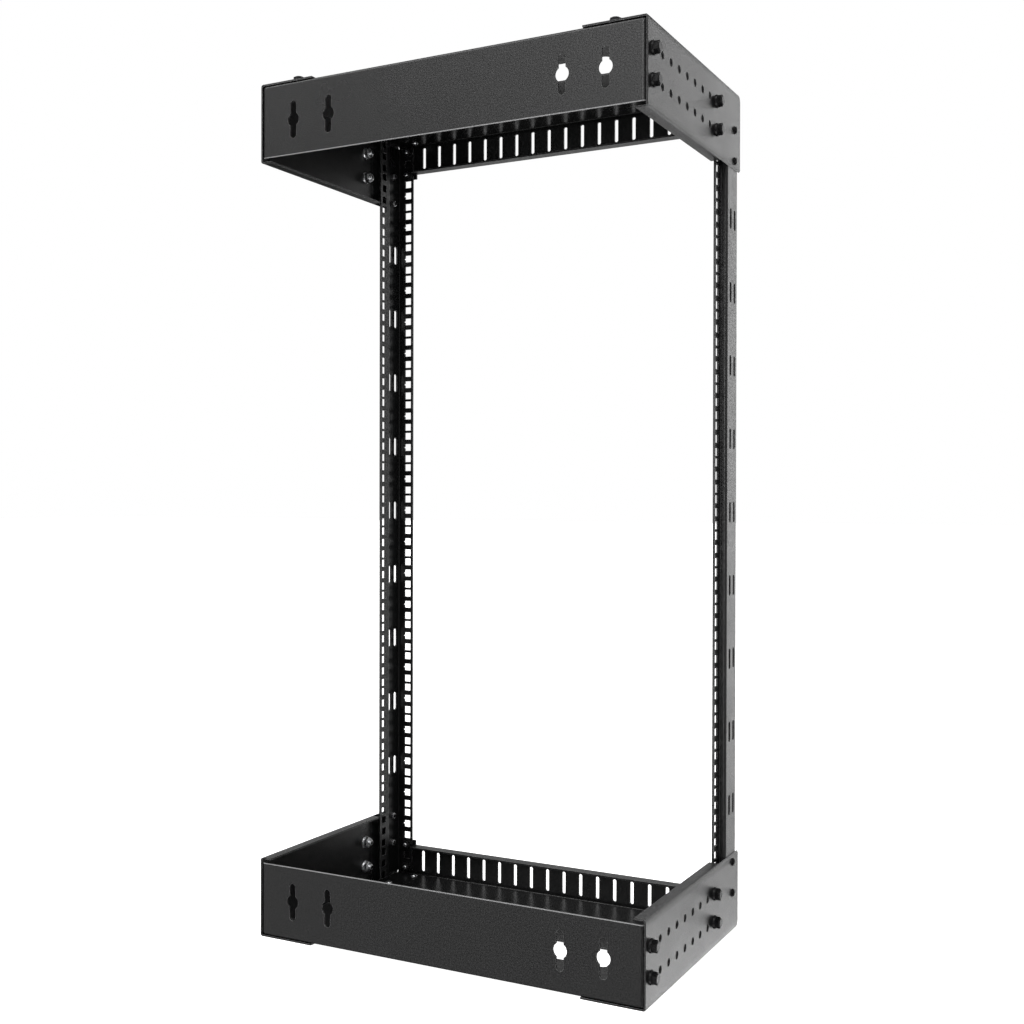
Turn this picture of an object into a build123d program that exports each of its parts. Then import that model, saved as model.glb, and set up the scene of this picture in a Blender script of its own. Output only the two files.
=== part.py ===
from build123d import *
from math import sqrt
import os

# Wall-mount open frame rack: two steel posts held between a lower and an upper tray.
# Millimetres. X runs across, the front faces -Y, the wall is behind the rack and the
# lower tray stands on Z = 0. Pieces are drawn with the wall at Y = 0, so that depths run
# from the wall towards the front, and are moved at the end to centre the rack on the origin.

# Rack standard
rack_unit = 44.45
open_units = 21
covered_units = 1  # behind each front panel
unit_hole_pitch = 15.875  # middle hole of a unit to its outer holes
square_hole = 9.5
panel_width = 482.6
panel_ear_margin = 8.75  # hole column to the end of a rack panel
unit_mark_depth = 2.0  # pointed notch at the middle hole of each unit
unit_mark_height = 3.0

# Whole rack
bay_margin = 5.7  # end of a rack panel to the web of a post
rack_depth = 304.8  # wall to the front of the posts
sheet_gap = 0.3  # between nested coated sheets
bend_inner_radius = 1.0
hole_sides = 12  # small repeated holes and shanks are polygons, to keep their faces few
slot_corner = 1 - sqrt(1 / 2)  # corner cut that ends a slot in half an octagon, per width

# Posts
post_sheet = 2.0
post_end_gap = 1.5  # end of a post to the deck plate
front_flange_margin = 8.05  # hole column to the free edge of the front flange
web_width = 40.0  # front face to the wall side of the step
strip_offset = 8.1  # step inwards from the web to the rear strip
strip_width = 21.5
strip_hole_setback = 12.5  # step to the hole column of the strip
slot_pitch = 89.9
slot_pairs = 9
slot_height = 25.0
slot_width = 7.0
slot_spacing = 15.0
slot_pair_depth = 19.0  # front face to the middle of a slot pair

# Trays
tray_sheet = 2.0
tray_height = 95.5
side_flange_width = 75.0
side_lip_width = 14.0
side_lip_start = 1.5
side_lip_gap = 5.3  # to the strip of the post
side_corner_radius = 10.0
wall_plate_drop = 6.2  # below the open side of the tray
wall_corner_radius = 4.0
arm_gap = 9.3  # arm to the strip of the post
deck_front_gap = 7.1  # deck to the back of the front panel
deck_side_gap = 7.0  # front part of the deck to the web of a post
deck_corner_radius = 12.0
cable_opening_margin = 8.3  # in the deck, midway along the arms, to the side flanges
cable_opening_depth = 58.0
cable_opening_radius = 6.0

# Wall keyholes
keyhole_spacings = (304.8, 406.4)
keyhole_circle = 16.5
keyhole_slot_width = 8.8
keyhole_height = 44.5

# Front panels
panel_sheet = 2.0
panel_height = 44.0
panel_lip = 17.5
panel_foot = 27.0  # outer lip that carries the front edge of the deck
panel_tab_margin = 5.9  # upper screw to the top of an end tab
panel_tab_width = 29.1
vent_margin = 10.0  # least from the last vent to an end tab
vent_pitch = 24.4
vent_height = 29.0
vent_width = 4.8
vent_centre = 22.0

# Depth bolts: flange bolts with nuts, through the side plates and the arms
bolt_shank = 8.0
bolt_hole = 9.0
bolt_flange = 16.0
bolt_flange_thickness = 1.8
bolt_hex = 12.5  # across flats
bolt_head_height = 8.0
nut_height = 7.0
bolt_tip = 2.0
nut_hole = 8.4
depth_step = 25.4
first_bolt_depth = 15.5
bolt_margin = 15.0  # least from the last bolt to the end of an arm
bolt_row_spacing = 33.5
deck_bolt_inset = 43.9  # from the outer face of the side plate
deck_bolt_depth = 17.0

# Post screw holes: side plate to web
post_screw_hole = 5.5
post_screw_inset = 9.5  # inner edge of the tray to the first screw
post_screw_spacing = 38.0

# Panel screws: front panel to the end unit of each post
panel_screw_shank = 6.0
panel_screw_hole = 6.6
panel_screw_head = 10.5
panel_screw_head_height = 3.3
panel_screw_bevel = 1.1
panel_screw_reach = 8.0  # beyond the flange of the post

# Deck screw holes: deck to the side flange and to the foot of the front panel
deck_screw_hole = 5.5
rear_deck_screw_inset = 25.3  # from the outer face of the side plate
rear_deck_screw_margin = 35.0  # to the foot of the front panel
front_deck_screw_inset = 6.9  # from an end tab

# Derived sizes, across the rack from its middle
hole_column = panel_width / 2 - panel_ear_margin
web_inner = panel_width / 2 + bay_margin
web_outer = web_inner + post_sheet
web_middle = web_inner + post_sheet / 2
strip_middle = web_middle - strip_offset
arm_outer = web_outer
arm_inner = arm_outer - tray_sheet
side_inner = arm_outer + sheet_gap
side_outer = side_inner + tray_sheet
panel_tab_spacing = 2 * (arm_outer - panel_tab_width)  # between the taller end tabs
vent_count = 1 + int((panel_tab_spacing - 2 * vent_margin) / vent_pitch)
cable_opening_width = 2 * (side_outer - side_flange_width - cable_opening_margin)

# Derived sizes, in depth from the wall
step_depth = rack_depth - web_width
strip_end = step_depth - strip_width
panel_back = rack_depth + sheet_gap
panel_front = panel_back + panel_sheet
panel_foot_end = panel_front - panel_foot
side_flange_length = panel_foot_end - sheet_gap
side_lip_end = strip_end - side_lip_gap
arm_length = strip_end - arm_gap
deck_front = panel_back - deck_front_gap
overall_depth = panel_front + panel_screw_head_height

# Derived sizes, in height
deck_under = tray_sheet + sheet_gap
deck_top = deck_under + tray_sheet
wall_plate_height = tray_height - deck_under - wall_plate_drop
tray_middle = tray_height / 2
post_length = (open_units + 2 * covered_units) * rack_unit
post_bottom = deck_top + post_end_gap
overall_height = post_length + 2 * post_bottom
mid_plane = Plane.XY.offset(overall_height / 2)
bend_outer_radius = bend_inner_radius + tray_sheet

# Shared hole places: depths, heights and distances from the middle
depth_steps = int((arm_length - first_bolt_depth - bolt_margin) / depth_step)
bolt_columns = [first_bolt_depth + depth_step * step for step in range(depth_steps + 1)]
bolt_rows = [tray_middle - bolt_row_spacing / 2, tray_middle + bolt_row_spacing / 2]
post_screw_depth = rack_depth - slot_pair_depth
post_screw_rows = [tray_height - post_screw_inset - post_screw_spacing * row for row in (0, 1)]
end_unit_middle = post_bottom + rack_unit / 2
panel_screw_rows = [end_unit_middle - unit_hole_pitch, end_unit_middle + unit_hole_pitch]
panel_tab_height = panel_screw_rows[-1] + panel_tab_margin
deck_bolt_across = side_outer - deck_bolt_inset
rear_deck_screw = (side_outer - rear_deck_screw_inset, side_flange_length - rear_deck_screw_margin)
front_deck_screw = (panel_tab_spacing / 2 - front_deck_screw_inset, (panel_foot_end + deck_front) / 2)


def on_side(columns, rows):
    """Points on a YZ plane from depths and heights."""
    return [(-depth, height) for depth in columns for height in rows]


def bend_radius(sheet):
    """Radius of a bend, measured at the middle of the sheet."""
    return bend_inner_radius + sheet / 2


def small_hole(diameter):
    """Polygon whose flats stand clear of a shank of the given diameter."""
    return RegularPolygon(diameter / 2, side_count=hole_sides, major_radius=False)


def punched_slot(length, width):
    """Upright slot with half an octagon at each end."""
    with BuildSketch() as outline:
        Rectangle(width, length)
        chamfer(outline.vertices(), length=width * slot_corner)
    return outline.sketch


def unit_heights():
    """Heights of the middle hole of every unit of a post."""
    units = open_units + 2 * covered_units
    return [post_bottom + rack_unit * (unit + 0.5) for unit in range(units)]


# Post: one sheet folded into front flange, web, step and rear strip
with BuildPart() as post:
    with BuildSketch(Plane.XY.offset(post_bottom)):
        with BuildLine():
            FilletPolyline(
                (hole_column - front_flange_margin, -rack_depth + post_sheet / 2),
                (web_middle, -rack_depth + post_sheet / 2),
                (web_middle, -step_depth - post_sheet / 2),
                (strip_middle, -step_depth - post_sheet / 2),
                (strip_middle, -step_depth + strip_width),
                radius=bend_radius(post_sheet),
            )
        trace(line_width=post_sheet)
    extrude(amount=post_length)
    middle_holes = [(hole_column, height) for height in unit_heights()]
    outer_holes = [
        (hole_column, height + side * unit_hole_pitch) for height in unit_heights() for side in (-1, 1)
    ]
    with BuildSketch(Plane.XZ.offset(rack_depth)):
        with Locations(*middle_holes, *outer_holes):
            Rectangle(square_hole, square_hole)
        with Locations(*middle_holes):
            Polygon(
                (square_hole / 2, unit_mark_height / 2),
                (square_hole / 2 + unit_mark_depth, 0),
                (square_hole / 2, -unit_mark_height / 2),
                align=None,
            )
    extrude(amount=-post_sheet, mode=Mode.SUBTRACT)
    strip_hole_y = -step_depth + strip_hole_setback
    with BuildSketch(Plane.YZ.offset(strip_middle)):
        with Locations(*[(strip_hole_y, height) for _, height in middle_holes + outer_holes]):
            Rectangle(square_hole, square_hole)
    extrude(amount=post_sheet, both=True, mode=Mode.SUBTRACT)
    slot_y = -rack_depth + slot_pair_depth
    with BuildSketch(Plane.YZ.offset(web_middle)):
        with Locations((slot_y, overall_height / 2)):
            with GridLocations(slot_spacing, slot_pitch, 2, slot_pairs):
                add(punched_slot(slot_height, slot_width))
    extrude(amount=post_sheet, both=True, mode=Mode.SUBTRACT)
    screw_rows = post_screw_rows + [overall_height - row for row in post_screw_rows]
    with BuildSketch(Plane.YZ.offset(web_middle)):
        with Locations(*on_side([post_screw_depth], screw_rows)):
            small_hole(post_screw_hole)
    extrude(amount=post_sheet, both=True, mode=Mode.SUBTRACT)

# Wall tray: keyhole plate, two arms and a deck with a cable opening, folded from one sheet
with BuildPart() as wall_tray:
    with BuildSketch(Plane.XY.offset(deck_under)):
        with BuildLine():
            FilletPolyline(
                (arm_outer - tray_sheet / 2, -arm_length),
                (arm_outer - tray_sheet / 2, -tray_sheet / 2),
                (-arm_outer + tray_sheet / 2, -tray_sheet / 2),
                (-arm_outer + tray_sheet / 2, -arm_length),
                radius=wall_corner_radius - tray_sheet / 2,
            )
        trace(line_width=tray_sheet)
    extrude(amount=wall_plate_height)
    with BuildSketch(Plane.XY.offset(deck_under)) as deck_rear:
        with Locations((0, -arm_length / 2)):
            Rectangle(2 * arm_outer, arm_length)
        fillet(deck_rear.vertices().group_by(Axis.Y)[-1], radius=wall_corner_radius)
    extrude(amount=tray_sheet)
    folds = wall_tray.faces().sort_by(Axis.Z)[0].outer_wire().edges()
    open_edge = folds.group_by(Axis.Y)[0]
    fillet([edge for edge in folds if edge not in open_edge], radius=bend_outer_radius)
    with BuildSketch(Plane.XY.offset(deck_under)) as deck_front_plate:
        with Locations((0, -(arm_length - deck_corner_radius + deck_front) / 2)):
            Rectangle(2 * (web_inner - deck_side_gap), deck_front - arm_length + deck_corner_radius)
        fillet(deck_front_plate.vertices().group_by(Axis.Y)[0], radius=deck_corner_radius)
    extrude(amount=tray_sheet)
    with BuildSketch(Plane.XY.offset(deck_under)):
        with Locations((0, -arm_length / 2)):
            RectangleRounded(cable_opening_width, cable_opening_depth, cable_opening_radius)
    extrude(amount=tray_sheet, mode=Mode.SUBTRACT)
    with BuildSketch(Plane.XZ):
        for spacing in keyhole_spacings:
            with Locations((-spacing / 2, tray_middle), (spacing / 2, tray_middle)):
                Circle(keyhole_circle / 2)
                SlotOverall(keyhole_height, keyhole_slot_width, rotation=90)
    extrude(amount=tray_sheet, mode=Mode.SUBTRACT)
    with BuildSketch(Plane.YZ):
        with Locations(*on_side([bolt_columns[0], bolt_columns[-1]], bolt_rows)):
            small_hole(bolt_hole)
    extrude(amount=side_outer, both=True, mode=Mode.SUBTRACT)
    with BuildSketch(Plane.XY.offset(deck_under)):
        for side in (-1, 1):
            with Locations((side * deck_bolt_across, -deck_bolt_depth)):
                small_hole(bolt_hole)
            for across, depth in (rear_deck_screw, front_deck_screw):
                with Locations((side * across, -depth)):
                    small_hole(deck_screw_hole)
    extrude(amount=tray_sheet, mode=Mode.SUBTRACT)

# Side plate: channel with a wide outer flange and a narrow inner lip
with BuildPart() as side_plate:
    side_middle = side_inner + tray_sheet / 2
    with BuildSketch(Plane.XZ):
        with BuildLine():
            FilletPolyline(
                (side_outer - side_flange_width, tray_sheet / 2),
                (side_middle, tray_sheet / 2),
                (side_middle, tray_height - tray_sheet / 2),
                (side_outer - side_lip_width, tray_height - tray_sheet / 2),
                radius=bend_radius(tray_sheet),
            )
        trace(line_width=tray_sheet)
    extrude(amount=panel_front)
    with BuildSketch(Plane.YZ.offset(side_inner)):
        with Locations((-side_flange_length, 0)):
            Rectangle(panel_front - side_flange_length, bend_outer_radius, align=(Align.MAX, Align.MIN))
        with Locations((-side_lip_end, tray_height)):
            Rectangle(panel_front - side_lip_end, bend_outer_radius, align=(Align.MAX, Align.MAX))
        with Locations((0, tray_height)):
            Rectangle(side_lip_start, bend_outer_radius, align=(Align.MAX, Align.MAX))
    extrude(amount=-side_flange_width, mode=Mode.SUBTRACT)
    with BuildSketch(Plane.YZ.offset(side_inner - bend_inner_radius)):
        with Locations((-panel_front, 0)):
            Rectangle(side_corner_radius, side_corner_radius, align=(Align.MIN, Align.MIN))
        with Locations((-panel_front + side_corner_radius, side_corner_radius)):
            Circle(side_corner_radius, mode=Mode.SUBTRACT)
    extrude(amount=2 * tray_sheet, mode=Mode.SUBTRACT)
    with BuildSketch(Plane.YZ.offset(side_inner)):
        with Locations(*on_side(bolt_columns, bolt_rows)):
            small_hole(bolt_hole)
        with Locations(*on_side([post_screw_depth], post_screw_rows)):
            small_hole(post_screw_hole)
    extrude(amount=tray_sheet, mode=Mode.SUBTRACT)
    with BuildSketch(Plane.XY):
        with Locations((deck_bolt_across, -deck_bolt_depth)):
            small_hole(bolt_hole)
        with Locations((rear_deck_screw[0], -rear_deck_screw[1])):
            small_hole(deck_screw_hole)
    extrude(amount=tray_sheet, mode=Mode.SUBTRACT)

# Front panel: vented plate with a folded lip, end tabs and a foot under the deck
with BuildPart() as front_panel:
    panel_middle = -(panel_front - panel_sheet / 2)
    with BuildSketch(Plane.YZ):
        with BuildLine():
            FilletPolyline(
                (-panel_foot_end, panel_sheet / 2),
                (panel_middle, panel_sheet / 2),
                (panel_middle, panel_height - panel_sheet / 2),
                (-(panel_front - panel_lip), panel_height - panel_sheet / 2),
                radius=bend_radius(panel_sheet),
            )
        trace(line_width=panel_sheet)
    extrude(amount=panel_tab_spacing / 2, both=True)
    with BuildSketch(Plane.YZ.offset(panel_tab_spacing / 2)):
        with BuildLine():
            FilletPolyline(
                (-panel_foot_end, panel_sheet / 2),
                (panel_middle, panel_sheet / 2),
                (panel_middle, panel_tab_height),
                radius=bend_radius(panel_sheet),
            )
        trace(line_width=panel_sheet)
    tab = extrude(amount=panel_tab_width)
    mirror(tab, about=Plane.YZ)
    with BuildSketch(Plane.XZ.offset(panel_back)):
        with Locations((0, vent_centre)):
            with GridLocations(vent_pitch, 0, vent_count, 1):
                add(punched_slot(vent_height, vent_width))
        with Locations(*[(side * hole_column, row) for side in (-1, 1) for row in panel_screw_rows]):
            small_hole(panel_screw_hole)
    extrude(amount=panel_sheet, mode=Mode.SUBTRACT)
    with BuildSketch(Plane.XY):
        with Locations(*[(side * front_deck_screw[0], -front_deck_screw[1]) for side in (-1, 1)]):
            small_hole(deck_screw_hole)
    extrude(amount=panel_sheet, mode=Mode.SUBTRACT)


# Fasteners, each drawn once with its head seated on Z = 0 and its shank along -Z
def flange_bolt(length):
    """Hexagon flange bolt."""
    with BuildPart() as bolt:
        with BuildSketch():
            RegularPolygon(bolt_flange / 2, side_count=hole_sides)
        extrude(amount=bolt_flange_thickness)
        with BuildSketch(Plane.XY.offset(bolt_flange_thickness)):
            RegularPolygon(bolt_hex / 2, side_count=6, major_radius=False)
        extrude(amount=bolt_head_height - bolt_flange_thickness)
        with BuildSketch():
            RegularPolygon(bolt_shank / 2, side_count=hole_sides)
        extrude(amount=-length)
    return bolt.part


def flange_nut():
    """Hexagon flange nut."""
    with BuildPart() as nut:
        with BuildSketch():
            RegularPolygon(bolt_flange / 2, side_count=hole_sides)
        extrude(amount=bolt_flange_thickness)
        with BuildSketch():
            RegularPolygon(bolt_hex / 2, side_count=6, major_radius=False)
        extrude(amount=nut_height)
        with BuildSketch():
            small_hole(nut_hole)
        extrude(amount=nut_height, mode=Mode.SUBTRACT)
    return nut.part


def pan_screw(head, head_height, bevel, thickness, length):
    """Pan-head screw."""
    with BuildPart() as screw:
        with BuildSketch():
            RegularPolygon(head / 2, side_count=hole_sides)
        extrude(amount=head_height)
        chamfer(screw.edges().group_by(Axis.Z)[-1], length=bevel)
        with BuildSketch():
            RegularPolygon(thickness / 2, side_count=hole_sides)
        extrude(amount=-length)
    return screw.part


def group(piece, places):
    """Like fasteners of one corner of the rack."""
    with BuildPart() as set_of_pieces:
        with Locations(*places):
            add(piece)
    return set_of_pieces.part


def out_of_side(across, columns, rows, outward=1):
    """Places on a side at the given distance from the middle, with Z turned along X."""
    return [
        Location((across, -depth, height), (0, 90 * outward, 0)) for depth in columns for height in rows
    ]


# Depth bolts of the lower right corner, with their nuts inside the arm
used_columns = [bolt_columns[0], bolt_columns[-1]]
bolt_length = side_outer - arm_inner + nut_height + bolt_tip
depth_bolts = group(flange_bolt(bolt_length), out_of_side(side_outer, used_columns, bolt_rows))
depth_nuts = group(flange_nut(), out_of_side(arm_inner, used_columns, bolt_rows, outward=-1))

# Panel screws of the lower right corner
panel_screw = pan_screw(
    panel_screw_head,
    panel_screw_head_height,
    panel_screw_bevel,
    panel_screw_shank,
    length=panel_front - rack_depth + post_sheet + panel_screw_reach,
)
panel_screws = group(
    panel_screw,
    [Location((hole_column, -panel_front, row), (90, 0, 0)) for row in panel_screw_rows],
)

# Deck bolts: heads inside the lower tray, and on top of the upper tray with nuts inside
deck_bolt_sides = (deck_bolt_across, -deck_bolt_across)
lower_deck_bolts = group(
    flange_bolt(deck_top),
    [Location((across, -deck_bolt_depth, deck_top)) for across in deck_bolt_sides],
)
upper_deck_bolts = group(
    flange_bolt(deck_top + nut_height + bolt_tip),
    [Location((across, -deck_bolt_depth, overall_height)) for across in deck_bolt_sides],
)
upper_deck_nuts = group(
    flange_nut(),
    [
        Location((across, -deck_bolt_depth, overall_height - deck_top), (180, 0, 0))
        for across in deck_bolt_sides
    ],
)


def placed(piece, upper=False, left=False):
    """A piece of the lower right corner, mirrored to its own corner and moved off the wall."""
    with BuildPart() as copy:
        add(piece)
        if upper:
            mirror(about=mid_plane, mode=Mode.REPLACE)
        if left:
            mirror(about=Plane.YZ, mode=Mode.REPLACE)
    return copy.part.moved(Location((0, overall_depth / 2, 0)))


def save(piece, name):
    """Label a piece and write its file."""
    piece.label = name
    export_step(piece, f"parts/{name}.step")


os.makedirs("parts", exist_ok=True)
corner_pieces = {
    "side_plate": side_plate.part,
    "depth_bolts": depth_bolts,
    "depth_nuts": depth_nuts,
    "panel_screws": panel_screws,
}
for side_name, is_left in (("right", False), ("left", True)):
    save(placed(post.part, left=is_left), f"{side_name}_post")
    for tray_name, is_upper in (("lower", False), ("upper", True)):
        for piece_name, piece in corner_pieces.items():
            save(placed(piece, is_upper, is_left), f"{tray_name}_{side_name}_{piece_name}")
for tray_name, is_upper in (("lower", False), ("upper", True)):
    save(placed(wall_tray.part, is_upper), f"{tray_name}_wall_tray")
    save(placed(front_panel.part, is_upper), f"{tray_name}_front_panel")
save(placed(lower_deck_bolts), "lower_deck_bolts")
save(placed(upper_deck_bolts), "upper_deck_bolts")
save(placed(upper_deck_nuts), "upper_deck_nuts")
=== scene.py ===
from itertools import product
from math import cos, sin, radians

import bpy
from mathutils import Matrix, Vector


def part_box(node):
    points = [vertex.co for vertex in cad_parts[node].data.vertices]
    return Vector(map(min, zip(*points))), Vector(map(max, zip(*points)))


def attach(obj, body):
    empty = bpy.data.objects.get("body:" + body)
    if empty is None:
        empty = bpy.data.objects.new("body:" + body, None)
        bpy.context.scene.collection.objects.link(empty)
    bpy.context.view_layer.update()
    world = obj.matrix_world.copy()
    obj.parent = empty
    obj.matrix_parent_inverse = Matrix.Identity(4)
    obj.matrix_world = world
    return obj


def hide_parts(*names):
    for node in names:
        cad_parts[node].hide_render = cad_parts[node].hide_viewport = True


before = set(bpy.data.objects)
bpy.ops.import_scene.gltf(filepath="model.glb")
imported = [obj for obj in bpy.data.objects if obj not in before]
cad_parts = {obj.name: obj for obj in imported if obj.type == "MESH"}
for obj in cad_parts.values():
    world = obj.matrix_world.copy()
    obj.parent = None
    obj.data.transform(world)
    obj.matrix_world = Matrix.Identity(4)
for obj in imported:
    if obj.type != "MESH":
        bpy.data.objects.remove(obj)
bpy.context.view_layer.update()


# Posts: two uprights, each a single strip of 2 mm steel with square holes punched in it before
# it is folded into front flange, web, step and rear strip. The black powder coat has a fine
# grain, and along the folds and cut edges it is lighter, partly where it wears and partly as a
# painted highlight.
MM = 0.001
SHEET_MM = 2.0
COAT_BLACK = (0.005, 0.005, 0.0052)
# Edge colour of the coat: lighter where the coat wears, and a painted highlight along folds and cut
# edges.
COAT_EDGE_WEAR_AND_HIGHLIGHT = (0.28, 0.28, 0.283)
COAT_GRAIN_MM, COAT_CLOUD_MM, COAT_RELIEF_MM = 1.6, 70.0, 0.3
DARK_SPECK, LIGHT_SPECK = 0.75, 1.3
COAT_SPECULAR, GLAZE_ROUGHNESS = 0.32, 0.24
GLOSSY, DULL = 0.27, 0.36
EDGE_RADIUS_MM = 0.6
WEAR_AND_HIGHLIGHT_STARTS, WEAR_AND_HIGHLIGHT_FULL = 0.985, 0.8  # cosine of the turn from the flat face
WEAR_AND_HIGHLIGHT_PATCHES_PER_METRE = 160.0


def shader_group(name, inputs, outputs):
    """Empty shader group with number inputs as {name: default} and outputs as {name: kind}."""
    group = bpy.data.node_groups.new(name, "ShaderNodeTree")
    for label, default in inputs.items():
        socket = group.interface.new_socket(label, in_out="INPUT", socket_type="NodeSocketFloat")
        socket.default_value = default
    for label, kind in outputs.items():
        group.interface.new_socket(label, in_out="OUTPUT", socket_type=kind)
    start, end = group.nodes.new("NodeGroupInput"), group.nodes.new("NodeGroupOutput")
    return group, start, end


def node(tree, kind, inputs=None, **settings):
    """New node with its properties set, and the values of its inputs by name or number."""
    made = tree.nodes.new(kind)
    for key, value in settings.items():
        setattr(made, key, value)
    for socket, value in (inputs or {}).items():
        made.inputs[socket].default_value = value
    return made


def shade(colour, factor=1.0):
    """Opaque colour, made darker or lighter by a factor."""
    return tuple(channel * factor for channel in colour) + (1.0,)


def grain_group():
    """Fine orange-peel grain of a powder coat: its height, specks, and clouds over the sheet."""
    group, start, end = shader_group(
        "fine coat grain",
        {"Grain per metre": 1 / (COAT_GRAIN_MM * MM), "Clouds per metre": 1 / (COAT_CLOUD_MM * MM)},
        {"Height": "NodeSocketFloat", "Tone": "NodeSocketFloat", "Cloud": "NodeSocketFloat"},
    )
    place = node(group, "ShaderNodeTexCoord")
    grain = node(group, "ShaderNodeTexNoise", inputs={"Detail": 3.0, "Roughness": 0.62})
    cloud = node(group, "ShaderNodeTexNoise", inputs={"Detail": 2.0, "Roughness": 0.5})
    speck = node(group, "ShaderNodeMapRange", inputs={"From Min": 0.38, "From Max": 0.64})
    drift = node(group, "ShaderNodeMapRange", inputs={"From Min": 0.3, "From Max": 0.7})
    link = group.links.new
    link(place.outputs["Object"], grain.inputs["Vector"])
    link(place.outputs["Object"], cloud.inputs["Vector"])
    link(start.outputs["Grain per metre"], grain.inputs["Scale"])
    link(start.outputs["Clouds per metre"], cloud.inputs["Scale"])
    link(grain.outputs["Fac"], speck.inputs["Value"])
    link(cloud.outputs["Fac"], drift.inputs["Value"])
    link(grain.outputs["Fac"], end.inputs["Height"])
    link(speck.outputs["Result"], end.inputs["Tone"])
    link(drift.outputs["Result"], end.inputs["Cloud"])
    return group


def edge_group():
    """Rounded normal along folds and cut edges, and a mask there for a lighter colour: where a coat
    wears thinner, and a painted highlight.
    """
    group, start, end = shader_group(
        "softened edges",
        {"Radius": EDGE_RADIUS_MM * MM, "Wear and highlight": 1.0},
        {"Normal": "NodeSocketVector", "Edge": "NodeSocketFloat"},
    )
    rounded = node(group, "ShaderNodeBevel", samples=4)
    flat = node(group, "ShaderNodeNewGeometry")
    turned = node(group, "ShaderNodeVectorMath", operation="DOT_PRODUCT")
    mask = node(
        group, "ShaderNodeMapRange", inputs={"From Min": WEAR_AND_HIGHLIGHT_STARTS, "From Max": WEAR_AND_HIGHLIGHT_FULL}
    )
    patchy = node(
        group, "ShaderNodeTexNoise", inputs={"Scale": WEAR_AND_HIGHLIGHT_PATCHES_PER_METRE, "Detail": 3.0}
    )
    place = node(group, "ShaderNodeTexCoord")
    wear_and_highlight = node(
        group, "ShaderNodeMapRange", inputs={"From Min": 0.35, "From Max": 0.6, "To Min": 0.35}
    )
    strength = node(group, "ShaderNodeMath", operation="MULTIPLY")
    total = node(group, "ShaderNodeMath", operation="MULTIPLY")
    link = group.links.new
    link(start.outputs["Radius"], rounded.inputs["Radius"])
    link(rounded.outputs["Normal"], turned.inputs[0])
    link(flat.outputs["True Normal"], turned.inputs[1])
    link(turned.outputs["Value"], mask.inputs["Value"])
    link(place.outputs["Object"], patchy.inputs["Vector"])
    link(patchy.outputs["Fac"], wear_and_highlight.inputs["Value"])
    link(mask.outputs["Result"], strength.inputs[0])
    link(wear_and_highlight.outputs["Result"], strength.inputs[1])
    link(strength.outputs["Value"], total.inputs[0])
    link(start.outputs["Wear and highlight"], total.inputs[1])
    link(total.outputs["Value"], end.inputs["Edge"])
    link(rounded.outputs["Normal"], end.inputs["Normal"])
    return group


coat_grain = grain_group()
soft_edges = edge_group()


def powder_coat(name, relief=1.0, folds=None, rim=None):
    """Black powder coat with grain, slow drift of gloss, and lighter edges from wear and a painted
    highlight. Relief scales the height of its grain, folds is the group that gives the slight curve
    of a sheet beside its folds, and rim the one that marks a free edge with a painted highlight."""
    material = bpy.data.materials.new(name)
    material.use_nodes = True
    tree = material.node_tree
    shader = tree.nodes["Principled BSDF"]
    shader.inputs["Specular IOR Level"].default_value = COAT_SPECULAR
    shader.inputs["Coat Roughness"].default_value = GLAZE_ROUGHNESS
    grain = node(tree, "ShaderNodeGroup", node_tree=coat_grain)
    edges = node(tree, "ShaderNodeGroup", node_tree=soft_edges)
    specks = node(tree, "ShaderNodeMix", data_type="RGBA")
    specks.inputs["A"].default_value = shade(COAT_BLACK, DARK_SPECK)
    specks.inputs["B"].default_value = shade(COAT_BLACK, LIGHT_SPECK)
    # The edge mask paints the lighter edge colour, which is both wear of the coat and a painted
    # highlight.
    wear_and_highlight = node(tree, "ShaderNodeMix", data_type="RGBA")
    wear_and_highlight.inputs["B"].default_value = shade(COAT_EDGE_WEAR_AND_HIGHLIGHT)
    gloss = node(tree, "ShaderNodeMapRange", inputs={"To Min": GLOSSY, "To Max": DULL})
    height = node(tree, "ShaderNodeBump", inputs={"Distance": relief * COAT_RELIEF_MM * MM})
    link = tree.links.new
    link(grain.outputs["Tone"], specks.inputs["Factor"])
    link(grain.outputs["Tone"], shader.inputs["Coat Weight"])
    link(specks.outputs["Result"], wear_and_highlight.inputs["A"])
    thin_coat_and_highlight = edges.outputs["Edge"]
    if rim is not None:
        most = node(tree, "ShaderNodeMath", operation="MAXIMUM")
        link(thin_coat_and_highlight, most.inputs[0])
        link(node(tree, "ShaderNodeGroup", node_tree=rim).outputs["Rim"], most.inputs[1])
        thin_coat_and_highlight = most.outputs["Value"]
    link(thin_coat_and_highlight, wear_and_highlight.inputs["Factor"])
    link(wear_and_highlight.outputs["Result"], shader.inputs["Base Color"])
    link(grain.outputs["Cloud"], gloss.inputs["Value"])
    link(gloss.outputs["Result"], shader.inputs["Roughness"])
    link(grain.outputs["Height"], height.inputs["Height"])
    link(height.outputs["Normal"], shader.inputs["Normal"])
    if folds is None:
        link(edges.outputs["Normal"], height.inputs["Normal"])
        return material
    curve = node(tree, "ShaderNodeGroup", node_tree=folds)
    curved = node(tree, "ShaderNodeBump", inputs={"Distance": 1.0})
    link(curve.outputs["Height"], curved.inputs["Height"])
    link(edges.outputs["Normal"], curved.inputs["Normal"])
    link(curved.outputs["Normal"], height.inputs["Normal"])
    return material


def finish_nodes(names, material):
    """Give CAD nodes their material through their slots."""
    for name in names:
        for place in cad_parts[name].material_slots:
            place.material = material


coat = powder_coat("fine black powder coat")
finish_nodes(["left_post", "right_post"], coat)

# Wall trays: one sheet each, with double-ended keyholes for the wall screws. The plate on the
# wall, the two arms and the deck are folded from it, so the outer edges are rounded.
PLATE_DROP_MM, RIM_HIGHLIGHT_MM = 6.2, 0.6  # plate below the open side of its tray, width of the painted highlight along its free edge


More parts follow.
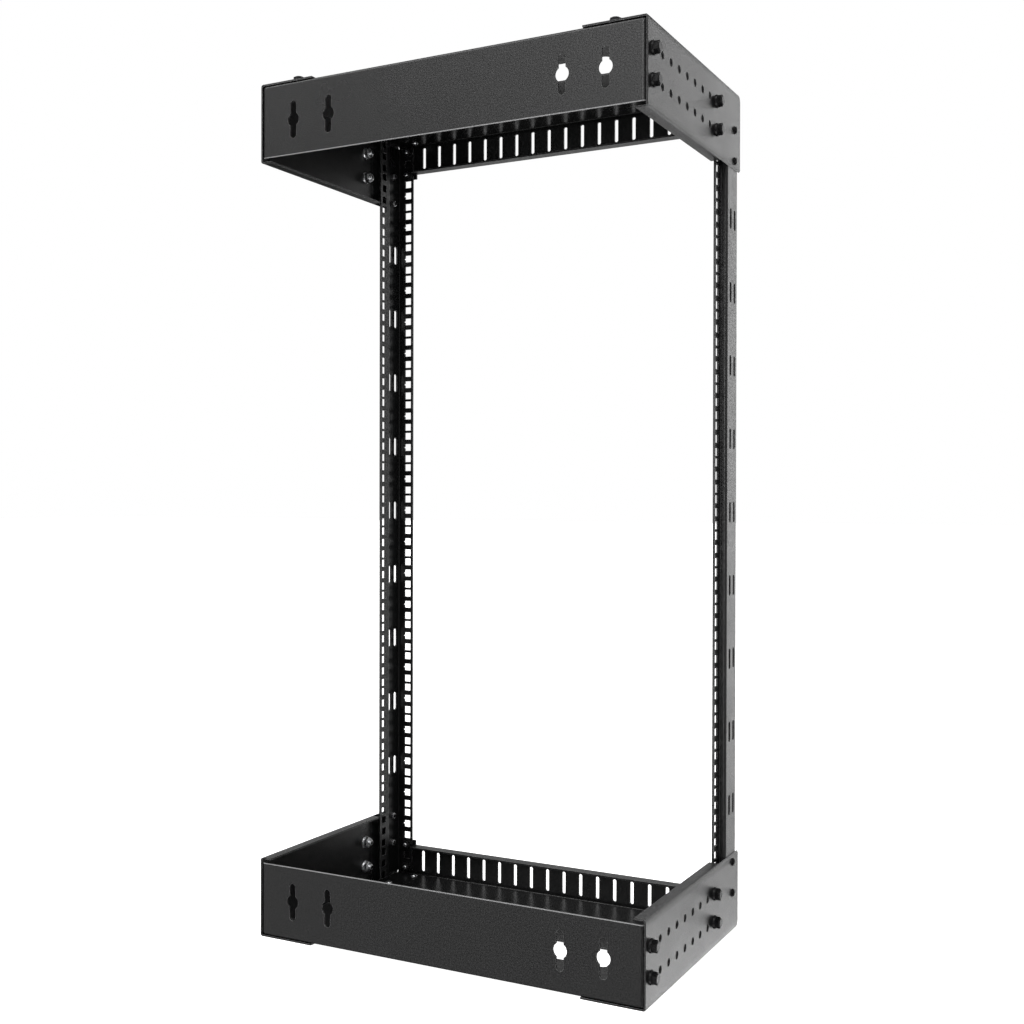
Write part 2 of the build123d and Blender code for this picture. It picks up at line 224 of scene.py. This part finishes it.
def rim_highlight_group(height, rack_height, plate_back):
    """Mask of the free edge of both wall plates, which gets a painted highlight in the coat's edge
    colour.
    """
    group, start, end = shader_group(
        "painted highlight on the free edge of the wall plates", {"Width": RIM_HIGHLIGHT_MM * MM}, {"Rim": "NodeSocketFloat"}
    )
    place = node(group, "ShaderNodeTexCoord")
    axes = node(group, "ShaderNodeSeparateXYZ")
    mirrored = node(group, "ShaderNodeMath", operation="PINGPONG", inputs={1: rack_height / 2})
    near = node(group, "ShaderNodeMath", operation="COMPARE", inputs={1: height})
    plate = node(group, "ShaderNodeMath", operation="GREATER_THAN", inputs={1: plate_back})
    rim = node(group, "ShaderNodeMath", operation="MULTIPLY")
    link = group.links.new
    link(place.outputs["Object"], axes.inputs["Vector"])
    link(axes.outputs["Z"], mirrored.inputs[0])
    link(mirrored.outputs["Value"], near.inputs[0])
    link(start.outputs["Width"], near.inputs[2])
    link(axes.outputs["Y"], plate.inputs[0])
    link(near.outputs["Value"], rim.inputs[0])
    link(plate.outputs["Value"], rim.inputs[1])
    link(rim.outputs["Value"], end.inputs["Rim"])
    return group


tray_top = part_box("lower_left_side_plate")[1][2]
rack_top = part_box("upper_left_side_plate")[1][2]
plate_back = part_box("lower_wall_tray")[1][1] - 1.25 * SHEET_MM * MM
# Painted highlight: a band along the free edge of each wall plate takes the coat's light edge
# colour.
free_edge_highlight = rim_highlight_group(tray_top - PLATE_DROP_MM * MM, rack_top, plate_back)
tray_coat = powder_coat("coat on the wall trays", rim=free_edge_highlight)
finish_nodes(["lower_wall_tray", "upper_wall_tray"], tray_coat)

# Side plates: channels that the arms slide into, with a wide flange outside the deck and a
# narrow lip on the open side. Their holes set the depth of the rack.
FOLD_REACH_MM, FOLD_CURVE_MM = 9.0, 17.0
SIDE_RELIEF = 2.0


def rolled_group(outer, height, rack_height):
    """Height of a channel's faces and lips, which curve gently towards the folds between them."""
    group, start, end = shader_group(
        "rolled folds",
        {"Reach": FOLD_REACH_MM * MM, "Curve": FOLD_CURVE_MM * MM},
        {"Height": "NodeSocketFloat"},
    )
    place = node(group, "ShaderNodeTexCoord")
    axes = node(group, "ShaderNodeSeparateXYZ")
    mirrored = node(group, "ShaderNodeMath", operation="PINGPONG", inputs={1: rack_height / 2})
    other = node(group, "ShaderNodeMath", operation="SUBTRACT", inputs={0: height})
    nearest = node(group, "ShaderNodeMath", operation="MINIMUM")
    within = node(group, "ShaderNodeMath", operation="SUBTRACT", use_clamp=True)
    squared = node(group, "ShaderNodeMath", operation="MULTIPLY")
    breadth = node(group, "ShaderNodeMath", operation="ABSOLUTE")
    inward = node(group, "ShaderNodeMath", operation="SUBTRACT", inputs={0: outer})
    lip_within = node(group, "ShaderNodeMath", operation="SUBTRACT", use_clamp=True)
    both = node(group, "ShaderNodeMath", operation="MULTIPLY_ADD")
    halved = node(group, "ShaderNodeMath", operation="DIVIDE")
    fall = node(group, "ShaderNodeMath", operation="MULTIPLY", inputs={1: -0.5})
    link = group.links.new
    link(place.outputs["Object"], axes.inputs["Vector"])
    link(axes.outputs["Z"], mirrored.inputs[0])
    link(mirrored.outputs["Value"], other.inputs[1])
    link(mirrored.outputs["Value"], nearest.inputs[0])
    link(other.outputs["Value"], nearest.inputs[1])
    link(start.outputs["Reach"], within.inputs[0])
    link(nearest.outputs["Value"], within.inputs[1])
    link(within.outputs["Value"], squared.inputs[0])
    link(within.outputs["Value"], squared.inputs[1])
    link(axes.outputs["X"], breadth.inputs[0])
    link(breadth.outputs["Value"], inward.inputs[1])
    link(start.outputs["Reach"], lip_within.inputs[0])
    link(inward.outputs["Value"], lip_within.inputs[1])
    link(lip_within.outputs["Value"], both.inputs[0])
    link(lip_within.outputs["Value"], both.inputs[1])
    link(squared.outputs["Value"], both.inputs[2])
    link(both.outputs["Value"], halved.inputs[0])
    link(start.outputs["Curve"], halved.inputs[1])
    link(halved.outputs["Value"], fall.inputs[0])
    link(fall.outputs["Value"], end.inputs["Height"])
    return group


plate_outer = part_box("lower_right_side_plate")[1][0]
rolled = rolled_group(plate_outer, tray_top, rack_top)
side_coat = powder_coat("coat on the side plates", relief=SIDE_RELIEF, folds=rolled)
corners = list(product(("lower", "upper"), ("left", "right")))
finish_nodes([f"{level}_{side}_side_plate" for level, side in corners], side_coat)

# Front panels: sheets with a row of vents that close the front of both trays. Each is folded
# with a lip, end tabs and a foot, coated like the posts, and screwed over their ends.
finish_nodes(["lower_front_panel", "upper_front_panel"], coat)


# Depth bolts: M8 hexagon flange bolts in black zinc, through side plate and arm. Their heads
# are pressed parts with a cone for a flange, a bevelled hexagon and a raised ring on top.
HEX_CORNER = 1 / cos(radians(30))
THREAD_SIDES, THREAD_ROOT = 16, 0.88
SMOOTH_BELOW_DEG = 32


def stacked_tree(name, labels):
    """Geometry Nodes tree that puts a stack of cones and prisms on every given place."""
    tree = bpy.data.node_groups.new(name, "GeometryNodeTree")
    socket = tree.interface.new_socket
    socket("Places", in_out="INPUT", socket_type="NodeSocketGeometry")
    socket("Material", in_out="INPUT", socket_type="NodeSocketMaterial")
    socket("Turns of thread", in_out="INPUT", socket_type="NodeSocketInt")
    for size in ("Thread radius", "Thread pitch", "Thread start"):
        socket(size, in_out="INPUT", socket_type="NodeSocketFloat")
    for label in labels:
        socket(f"{label} sides", in_out="INPUT", socket_type="NodeSocketInt")
        for size in ("base", "top", "height", "start"):
            socket(f"{label} {size}", in_out="INPUT", socket_type="NodeSocketFloat")
    socket("Pieces", in_out="OUTPUT", socket_type="NodeSocketGeometry")
    start, end = tree.nodes.new("NodeGroupInput"), tree.nodes.new("NodeGroupOutput")
    link = tree.links.new
    stack = node(tree, "GeometryNodeJoinGeometry")
    for label in labels:
        cone = node(tree, "GeometryNodeMeshCone")
        rise = node(tree, "ShaderNodeCombineXYZ")
        move = node(tree, "GeometryNodeTransform")
        link(start.outputs[f"{label} sides"], cone.inputs["Vertices"])
        link(start.outputs[f"{label} base"], cone.inputs["Radius Bottom"])
        link(start.outputs[f"{label} top"], cone.inputs["Radius Top"])
        link(start.outputs[f"{label} height"], cone.inputs["Depth"])
        link(start.outputs[f"{label} start"], rise.inputs["Z"])
        link(rise.outputs["Vector"], move.inputs["Translation"])
        link(cone.outputs["Mesh"], move.inputs["Geometry"])
        link(move.outputs["Geometry"], stack.inputs["Geometry"])
    pitch = node(tree, "ShaderNodeCombineXYZ")
    first = node(tree, "ShaderNodeCombineXYZ")
    line = node(tree, "GeometryNodeMeshLine")
    root = node(tree, "ShaderNodeMath", operation="MULTIPLY", inputs={1: THREAD_ROOT})
    ridge = node(tree, "GeometryNodeMeshCone", inputs={"Vertices": THREAD_SIDES})
    turns = node(tree, "GeometryNodeInstanceOnPoints")
    link(start.outputs["Thread pitch"], pitch.inputs["Z"])
    link(start.outputs["Thread start"], first.inputs["Z"])
    link(start.outputs["Turns of thread"], line.inputs["Count"])
    link(first.outputs["Vector"], line.inputs["Start Location"])
    link(pitch.outputs["Vector"], line.inputs["Offset"])
    link(start.outputs["Thread radius"], ridge.inputs["Radius Bottom"])
    link(start.outputs["Thread radius"], root.inputs[0])
    link(root.outputs["Value"], ridge.inputs["Radius Top"])
    link(start.outputs["Thread pitch"], ridge.inputs["Depth"])
    link(line.outputs["Mesh"], turns.inputs["Points"])
    link(ridge.outputs["Mesh"], turns.inputs["Instance"])
    link(turns.outputs["Instances"], stack.inputs["Geometry"])
    turn = node(
        tree, "GeometryNodeInputNamedAttribute", data_type="FLOAT_VECTOR", inputs={"Name": "turn"}
    )
    facing = node(tree, "FunctionNodeEulerToRotation")
    copies = node(tree, "GeometryNodeInstanceOnPoints")
    real = node(tree, "GeometryNodeRealizeInstances")
    coloured = node(tree, "GeometryNodeSetMaterial")
    link(turn.outputs["Attribute"], facing.inputs["Euler"])
    link(start.outputs["Places"], copies.inputs["Points"])
    link(stack.outputs["Geometry"], copies.inputs["Instance"])
    link(facing.outputs["Rotation"], copies.inputs["Rotation"])
    link(copies.outputs["Instances"], real.inputs["Geometry"])
    link(real.outputs["Geometry"], coloured.inputs["Geometry"])
    link(start.outputs["Material"], coloured.inputs["Material"])
    link(coloured.outputs["Geometry"], end.inputs["Pieces"])
    return tree


def stacked_pieces(name, stack, places, material, thread=None):
    """Plain mesh of like fasteners. A stack is {label: (sides, base, top, height, start)} in mm,
    a place is (point, turn), and a thread is (turns, radius, pitch, start) in mm."""
    tree = stacked_tree(name, stack)
    mesh = bpy.data.meshes.new(name)
    mesh.from_pydata([point for point, _ in places], [], [])
    turn = mesh.attributes.new("turn", "FLOAT_VECTOR", "POINT")
    for item, (_, angles) in zip(turn.data, places):
        item.vector = angles
    source = bpy.data.objects.new(name + "_places", mesh)
    bpy.context.collection.objects.link(source)
    modifier = source.modifiers.new(name, "NODES")
    modifier.node_group = tree
    turns, radius, pitch, start = thread or (0, 1.0, 1.0, 0.0)
    values = {"Material": material, "Turns of thread": turns}
    values |= {"Thread radius": radius * MM, "Thread pitch": pitch * MM, "Thread start": start * MM}
    for label, (sides, *sizes) in stack.items():
        values[f"{label} sides"] = sides
        for size, value in zip(("base", "top", "height", "start"), sizes):
            values[f"{label} {size}"] = value * MM
    for item in tree.interface.items_tree:
        if item.item_type == "SOCKET" and item.name in values:
            modifier[item.identifier] = values[item.name]
    source.update_tag()
    shape = source.evaluated_get(bpy.context.evaluated_depsgraph_get())
    finished = bpy.data.objects.new(name, bpy.data.meshes.new_from_object(shape))
    bpy.data.objects.remove(source)
    bpy.context.collection.objects.link(finished)
    finished.data.shade_smooth()
    finished.data.set_sharp_from_angle(angle=radians(SMOOTH_BELOW_DEG))
    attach(finished, "root")
    return finished


PLATING_SPECULAR, PLATING_PATCHES_PER_METRE = 0.22, 220.0
PLATING_GLOSS_SPREAD = 0.12
PLATING_DARK = 0.75
# Edge colour of the plating: lighter from wear, and a painted glint.
PLATING_EDGE_GAIN, PLATING_EDGE_LIFT = 1.5, 0.03
PLATING_EDGE = {"Radius": 0.3 * MM, "Wear and highlight": 0.5}


def metal(name, colour, metallic, roughness):
    """Plated metal whose gloss and tone vary, lighter along its edges from wear and a painted
    glint.
    """
    material = bpy.data.materials.new(name)
    material.use_nodes = True
    tree = material.node_tree
    shader = tree.nodes["Principled BSDF"]
    shader.inputs["Metallic"].default_value = metallic
    shader.inputs["Specular IOR Level"].default_value = PLATING_SPECULAR
    edges = node(tree, "ShaderNodeGroup", node_tree=soft_edges, inputs=PLATING_EDGE)
    grain = node(tree, "ShaderNodeGroup", node_tree=coat_grain)
    grain.inputs["Clouds per metre"].default_value = PLATING_PATCHES_PER_METRE
    tone = node(tree, "ShaderNodeMix", data_type="RGBA")
    tone.inputs["A"].default_value = shade(colour, PLATING_DARK)
    tone.inputs["B"].default_value = shade(colour)
    # The edge mask paints the lighter edge colour, which is both wear and a painted glint.
    wear_and_highlight = node(tree, "ShaderNodeMix", data_type="RGBA")
    wear_and_highlight.inputs["B"].default_value = shade(
        min(1.0, channel * PLATING_EDGE_GAIN + PLATING_EDGE_LIFT) for channel in colour
    )
    gloss = node(tree, "ShaderNodeMapRange")
    gloss.inputs["To Min"].default_value = roughness - PLATING_GLOSS_SPREAD
    gloss.inputs["To Max"].default_value = roughness + PLATING_GLOSS_SPREAD
    height = node(tree, "ShaderNodeBump", inputs={"Strength": 0.15, "Distance": 0.0001})
    link = tree.links.new
    link(grain.outputs["Cloud"], tone.inputs["Factor"])
    link(tone.outputs["Result"], wear_and_highlight.inputs["A"])
    link(edges.outputs["Edge"], wear_and_highlight.inputs["Factor"])
    link(wear_and_highlight.outputs["Result"], shader.inputs["Base Color"])
    link(grain.outputs["Cloud"], gloss.inputs["Value"])
    link(gloss.outputs["Result"], shader.inputs["Roughness"])
    link(grain.outputs["Height"], height.inputs["Height"])
    link(edges.outputs["Normal"], height.inputs["Normal"])
    link(height.outputs["Normal"], shader.inputs["Normal"])
    return material


BOLT_FLANGE_MM, BOLT_HEX_MM, BOLT_HEAD_MM = 16.0, 12.5, 8.0
bolt_corner = BOLT_HEX_MM / 2 * HEX_CORNER
flange = {
    "Flange rim": (28, BOLT_FLANGE_MM / 2, BOLT_FLANGE_MM / 2 - 0.3, 1.0, 0.0),
    "Flange cone": (28, BOLT_FLANGE_MM / 2 - 0.3, bolt_corner, 0.9, 1.0),
}
bolt_head = flange | {
    "Hexagon": (6, bolt_corner, bolt_corner, 4.9, 1.7),
    "Bevel": (6, bolt_corner, bolt_corner - 0.9, 0.8, 6.6),
    "Ring": (20, 5.3, 4.9, 0.6, 7.4),
}
black_zinc = metal("black zinc", (0.008, 0.008, 0.0084), metallic=0.0, roughness=0.26)
bright_zinc = metal("bright zinc", (0.88, 0.89, 0.9), metallic=1.0, roughness=0.32)
OUTWARD = {"left": (0.0, -radians(90), 0.0), "right": (0.0, radians(90), 0.0)}
INWARD = {"left": OUTWARD["right"], "right": OUTWARD["left"]}


def box_corners(name, margin):
    """The four (y, z) places of the fasteners of a node, its margin in from its box."""
    low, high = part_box(name)
    depths, heights = ((low[axis] + margin, high[axis] - margin) for axis in (1, 2))
    return list(product(depths, heights))


def across(name, side, outer):
    """Outer or inner X of a node that lies on one side of the rack."""
    low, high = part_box(name)
    return low[0] if (side == "left") == outer else high[0]


heads, nuts = [], []
for level, side in corners:
    seat = across(f"{level}_{side}_side_plate", side, outer=True)
    inner_seat = across(f"{level}_{side}_depth_nuts", side, outer=True)
    for y, z in box_corners(f"{level}_{side}_depth_bolts", BOLT_FLANGE_MM / 2 * MM):
        heads.append(((seat, y, z), OUTWARD[side]))
        nuts.append(((inner_seat, y, z), INWARD[side]))
depth_bolts = stacked_pieces("depth_bolt_heads", bolt_head, heads, black_zinc)
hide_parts(*[f"{level}_{side}_depth_bolts" for level, side in corners])

# Depth nuts: zinc-plated hexagon flange nuts inside the arms, with the last threads of the
# bolts standing out of them. The bolts are cut off flat, and a flat black disc on each end is
# painted shade standing in for a small hollow there.
nut_stack = flange | {
    "Hexagon": (6, bolt_corner, bolt_corner, 4.3, 1.8),
    "Bevel": (6, bolt_corner, bolt_corner - 1.0, 0.9, 6.1),
}
depth_nuts = stacked_pieces("depth_nut_bodies", nut_stack, nuts, bright_zinc)
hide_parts(*[f"{level}_{side}_depth_nuts" for level, side in corners])
tip_stack = {"Core": (20, 3.5, 3.5, 10.2, 0.0), "Point": (20, 3.9, 2.9, 0.8, 10.2)}
depth_thread = (8, 4.0, 1.25, 0.0)
stacked_pieces(
    "depth_bolt_tips", tip_stack, nuts, bright_zinc, thread=depth_thread
)
# Painted shade: a black disc on the bolt end stands in for the shade in a small hollow.
bolt_end_shade_disc = {"Painted shade disc": (20, 2.3, 2.1, 0.15, 10.95)}
stacked_pieces("depth_bolt_ends_painted_shade", bolt_end_shade_disc, nuts, black_zinc)

# Deck bolts: the same flange bolts, through the deck and the wide flange of the side plates.
# Those of the upper tray stand on top of it and have nuts inside.
UPWARD, DOWNWARD = (0.0, 0.0, 0.0), (radians(180), 0.0, 0.0)
deck_thread = (7, 4.0, 1.25, 0.0)
deck_heads, deck_nuts = [], []
for name in ("lower_deck_bolts", "upper_deck_bolts"):
    low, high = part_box(name)
    middle = (low[1] + high[1]) / 2
    for x in (low[0] + BOLT_FLANGE_MM / 2 * MM, high[0] - BOLT_FLANGE_MM / 2 * MM):
        deck_heads.append(((x, middle, high[2] - BOLT_HEAD_MM * MM), UPWARD))
        if name == "upper_deck_bolts":
            deck_nuts.append(((x, middle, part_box("upper_deck_nuts")[1][2]), DOWNWARD))
deck_bolts = stacked_pieces("deck_bolt_heads", bolt_head, deck_heads, black_zinc)
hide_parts("lower_deck_bolts", "upper_deck_bolts")
deck_bodies = stacked_pieces("deck_nut_bodies", nut_stack, deck_nuts, bright_zinc)
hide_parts("upper_deck_nuts")
stacked_pieces(
    "deck_bolt_tips", tip_stack, deck_nuts, bright_zinc, thread=deck_thread
)

# Post screws: small black M5 hexagon washer screws, two at each corner, through side plate,
# arm and web. Plain zinc nuts hold them inside the post.
POST_SCREW_DEPTH_MM = 19.0
POST_SCREW_DROPS_MM = (9.5, 47.5)  # from the open side of the tray
post_screw_head = {
    "Washer": (20, 5.0, 4.8, 0.8, 0.0),
    "Hexagon": (6, 4.3, 4.3, 1.6, 0.8),
    "Dome": (16, 3.6, 2.4, 0.6, 2.4),
}
post_nut = {"Hexagon": (6, 4.6, 4.6, 3.4, 0.0), "Bevel": (6, 4.6, 3.9, 0.6, 3.4)}
screw_tip = {"Core": (14, 2.2, 2.2, 5.2, 0.0), "Point": (14, 2.2, 1.8, 0.4, 5.2)}
post_thread = (6, 2.5, 0.8, 0.0)
post_heads, post_nuts = [], []
for level, side in corners:
    low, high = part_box(f"{level}_{side}_side_plate")
    seat = across(f"{level}_{side}_side_plate", side, outer=True)
    web = across(f"{side}_post", side, outer=True) + SHEET_MM * MM * (1 if side == "left" else -1)
    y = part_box(f"{side}_post")[0][1] + POST_SCREW_DEPTH_MM * MM
    for drop in POST_SCREW_DROPS_MM:
        z = high[2] - drop * MM if level == "lower" else low[2] + drop * MM
        post_heads.append(((seat, y, z), OUTWARD[side]))
        post_nuts.append(((web, y, z), INWARD[side]))
stacked_pieces("post_screw_heads", post_screw_head, post_heads, black_zinc)
stacked_pieces("post_screw_nuts", post_nut, post_nuts, bright_zinc)
stacked_pieces(
    "post_screw_tips", screw_tip, post_nuts, black_zinc, thread=post_thread
)

# Panel screws: black M6 pan-head screws through the front panels into nuts behind the flanges
# of the posts.
PANEL_HEAD_MM, PANEL_HEAD_HEIGHT_MM = 10.5, 3.3
FORWARD, TO_WALL = (radians(90), 0.0, 0.0), (-radians(90), 0.0, 0.0)
panel_head = {
    "Rim": (24, PANEL_HEAD_MM / 2, PANEL_HEAD_MM / 2, 1.2, 0.0),
    "Shoulder": (24, PANEL_HEAD_MM / 2, 4.5, 1.2, 1.2),
    "Crown": (24, 4.5, 3.0, 0.7, 2.4),
}
panel_nut = {
    "Flange": (24, 7.0, 6.4, 1.4, 0.0),
    "Hexagon": (6, 5.77, 5.77, 3.9, 1.4),
    "Bevel": (6, 5.77, 4.9, 0.7, 5.3),
}
panel_tip = {"Core": (16, 2.6, 2.6, 7.5, 0.0), "Point": (16, 2.6, 2.1, 0.5, 7.5)}
panel_thread = (7, 3.0, 1.0, 0.0)
panel_heads, panel_nuts = [], []
for level, side in corners:
    low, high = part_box(f"{level}_{side}_panel_screws")
    x = (low[0] + high[0]) / 2
    front = low[1] + PANEL_HEAD_HEIGHT_MM * MM
    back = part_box(f"{side}_post")[0][1] + SHEET_MM * MM
    for z in (low[2] + PANEL_HEAD_MM / 2 * MM, high[2] - PANEL_HEAD_MM / 2 * MM):
        panel_heads.append(((x, front, z), FORWARD))
        panel_nuts.append(((x, back, z), TO_WALL))
panel_screws = stacked_pieces(
    "panel_screw_heads", panel_head, panel_heads, black_zinc
)
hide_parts(*[f"{level}_{side}_panel_screws" for level, side in corners])
stacked_pieces("panel_screw_nuts", panel_nut, panel_nuts, black_zinc)
stacked_pieces(
    "panel_screw_tips", panel_tip, panel_nuts, bright_zinc, thread=panel_thread
)

# Deck screws: bright zinc pan-head screws through the deck, into the side flange and the foot
# of the front panel.
DECK_SCREWS_MM = ((25.3, 35.0), (38.3, -8.95))  # in from the side, behind the end of the foot
deck_screw_head = {
    "Rim": (24, 4.75, 4.75, 0.8, 0.0),
    "Shoulder": (24, 4.75, 3.9, 1.0, 0.8),
    "Crown": (24, 3.9, 2.2, 0.6, 1.8),
}
deck_screws = []
for level, side in corners:
    outer = across(f"{level}_{side}_side_plate", side, outer=True)
    foot_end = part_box(f"{level}_front_panel")[1][1]
    low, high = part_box(f"{level}_wall_tray")
    seat = low[2] + SHEET_MM * MM if level == "lower" else high[2] - SHEET_MM * MM
    turn = UPWARD if level == "lower" else DOWNWARD
    for inset, back in DECK_SCREWS_MM:
        x = outer + inset * MM if side == "left" else outer - inset * MM
        deck_screws.append(((x, foot_end + back * MM, seat), turn))
stacked_pieces("deck_screw_heads", deck_screw_head, deck_screws, bright_zinc)

# Studio: a wide floor of pale paper that is lit so evenly that it fades into the white
# background, and soft boxes around the rack. The coat mirrors the boxes but not the paper.
FLOOR_REACH = 30.0
PAPER_WHITE, PAPER_ROUGHNESS = 0.9, 0.9
PAPER_GLOW, PAPER_GLOW_SEEN = 0.3, 1.0  # on the rack, and as the camera sees it
floor_mesh = bpy.data.meshes.new("studio_floor")
floor_corners = [(x, y, 0) for x, y in product((-FLOOR_REACH, FLOOR_REACH), repeat=2)]
floor_mesh.from_pydata(floor_corners, [], [(0, 2, 3, 1)])
floor = bpy.data.objects.new("studio_floor", floor_mesh)
bpy.context.collection.objects.link(floor)
paper = bpy.data.materials.new("pale studio paper")
paper.use_nodes = True
sheet = paper.node_tree
sheet_shader = sheet.nodes["Principled BSDF"]
sheet_shader.inputs["Base Color"].default_value = shade((PAPER_WHITE,) * 3)
sheet_shader.inputs["Roughness"].default_value = PAPER_ROUGHNESS
sheet_shader.inputs["Emission Color"].default_value = shade((1, 1, 1))
ray = node(sheet, "ShaderNodeLightPath")
glow = node(sheet, "ShaderNodeMapRange", inputs={"To Min": PAPER_GLOW, "To Max": PAPER_GLOW_SEEN})
sheet.links.new(ray.outputs["Is Camera Ray"], glow.inputs["Value"])
sheet.links.new(glow.outputs["Result"], sheet_shader.inputs["Emission Strength"])
floor_mesh.materials.append(paper)
floor.visible_glossy = False

scene = bpy.context.scene
scene.view_settings.view_transform = "Standard"
world = bpy.data.worlds.new("studio light")
scene.world = world
world.use_nodes = True
air = world.node_tree
sky = air.nodes["Background"]
sky.inputs["Color"].default_value = shade((1, 1, 1))
# Each light is a soft-edged patch of the sky, in degrees: the side of the rack that its azimuth
# is measured from, from and to by azimuth, low and high by elevation, the softness of its
# upright and its level edges, strength. Azimuth grows towards +X.
LIGHTS = {
    "large soft box": ("wall", 16, 66, -70, 28, 3, 3, 0.55),
    "strip for the upright folds": ("wall", -8, 16, -12, 50, 3, 3, 3.4),
    "strip for the top folds": ("wall", 16, 66, 28, 60, 3, 3, 3.4),
    "front sweep": ("front", -29, 10, -15, 24, 9, 5, 1.5),
    "foot of the front sweep": ("front", -29, 10, -28, -18, 9, 2, 2.7),
    "edge of the front sweep, above": ("front", 10, 48, 0, 22, 3, 6, 0.42),
    "edge of the front sweep, below": ("front", 10, 33, -24, 0, 3, 6, 0.42),
    "high light for the bolts": ("wall", -80, -12, 36, 75, 6, 6, 2.6),
    "low light for the bolts": ("wall", -80, -12, -75, -36, 6, 6, 2.6),
    "box beside the left side plates": ("front", -142, -64, -28, 30, 5, 6, 0.55),
    "box beside the right side plates": ("front", 54, 108, -28, 30, 5, 6, 0.55),
    "ceiling": ("front", -90, 90, 42, 85, 6, 6, 0.4),
}
FILL = 0.03
link = air.links.new


def sky_math(operation, *values):
    """Math node fed by numbers or sockets."""
    made = node(air, "ShaderNodeMath", operation=operation)
    for socket, value in zip(made.inputs, values):
        if isinstance(value, float):
            socket.default_value = value
        else:
            link(value, socket)
    return made.outputs["Value"]


def soft_step(value, dark, bright, strength=1.0):
    """Smooth rise from nothing at dark to the given strength at bright."""
    ramp = node(air, "ShaderNodeMapRange", interpolation_type="SMOOTHSTEP")
    ramp.inputs["From Min"].default_value = dark
    ramp.inputs["From Max"].default_value = bright
    ramp.inputs["To Max"].default_value = strength
    link(value, ramp.inputs["Value"])
    return ramp.outputs["Result"]


toward = node(air, "ShaderNodeTexCoord")
parts = node(air, "ShaderNodeSeparateXYZ")
sight = node(air, "ShaderNodeLightPath")
link(toward.outputs["Generated"], parts.inputs["Vector"])
backward = sky_math("MULTIPLY", parts.outputs["Y"], -1.0)
azimuths = {
    "wall": sky_math("DEGREES", sky_math("ARCTAN2", parts.outputs["X"], parts.outputs["Y"])),
    "front": sky_math("DEGREES", sky_math("ARCTAN2", parts.outputs["X"], backward)),
}
elevation = sky_math("DEGREES", sky_math("ARCSINE", parts.outputs["Z"]))
total = FILL
for start, first, last, low, high, upright, level, strength in LIGHTS.values():
    azimuth = azimuths[start]
    patch = soft_step(azimuth, first - upright, first + upright, strength)
    patch = sky_math("MULTIPLY", patch, soft_step(azimuth, last + upright, last - upright))
    patch = sky_math("MULTIPLY", patch, soft_step(elevation, low - level, low + level))
    patch = sky_math("MULTIPLY", patch, soft_step(elevation, high + level, high - level))
    total = sky_math("ADD", total, patch)
seen = node(air, "ShaderNodeMix", inputs={"B": 1.0})
link(sight.outputs["Is Camera Ray"], seen.inputs["Factor"])
link(total, seen.inputs["A"])
link(seen.outputs["Result"], sky.inputs["Strength"])

# Camera: it stands on the wall side, level with the middle of the rack and 1.6 m away, and
# looks past the left side plates. Place, turn and focal length, in metres, radians and pixels
# of the picture, come from the rows of square holes in the photograph.
CAMERA_AT = Vector((-0.7495, 1.4031, 0.528575))
YAW, PITCH, ROLL = 0.484, -0.006, 0.002
FOCAL_PX, FRAME_PX = 1291.8, 1024
AXIS_ROW_PX = 510
SENSOR_MM = 36.0
camera_data = bpy.data.cameras.new("camera")
camera = bpy.data.objects.new("camera", camera_data)
bpy.context.collection.objects.link(camera)
heading = Vector((sin(YAW), -cos(YAW), 0))
sideways = Vector((-cos(YAW), -sin(YAW), 0))
upright = Vector((0, 0, 1))
ahead = cos(PITCH) * heading + sin(PITCH) * upright
over = -sin(PITCH) * heading + cos(PITCH) * upright
right = cos(ROLL) * sideways + sin(ROLL) * over
over = cos(ROLL) * over - sin(ROLL) * sideways
turned = Matrix((right, over, -ahead)).transposed().to_4x4()
camera.matrix_world = Matrix.Translation(CAMERA_AT) @ turned
camera_data.sensor_width = SENSOR_MM
camera_data.lens = FOCAL_PX / FRAME_PX * SENSOR_MM
camera_data.shift_y = (AXIS_ROW_PX - FRAME_PX / 2) / FRAME_PX
scene.camera = camera
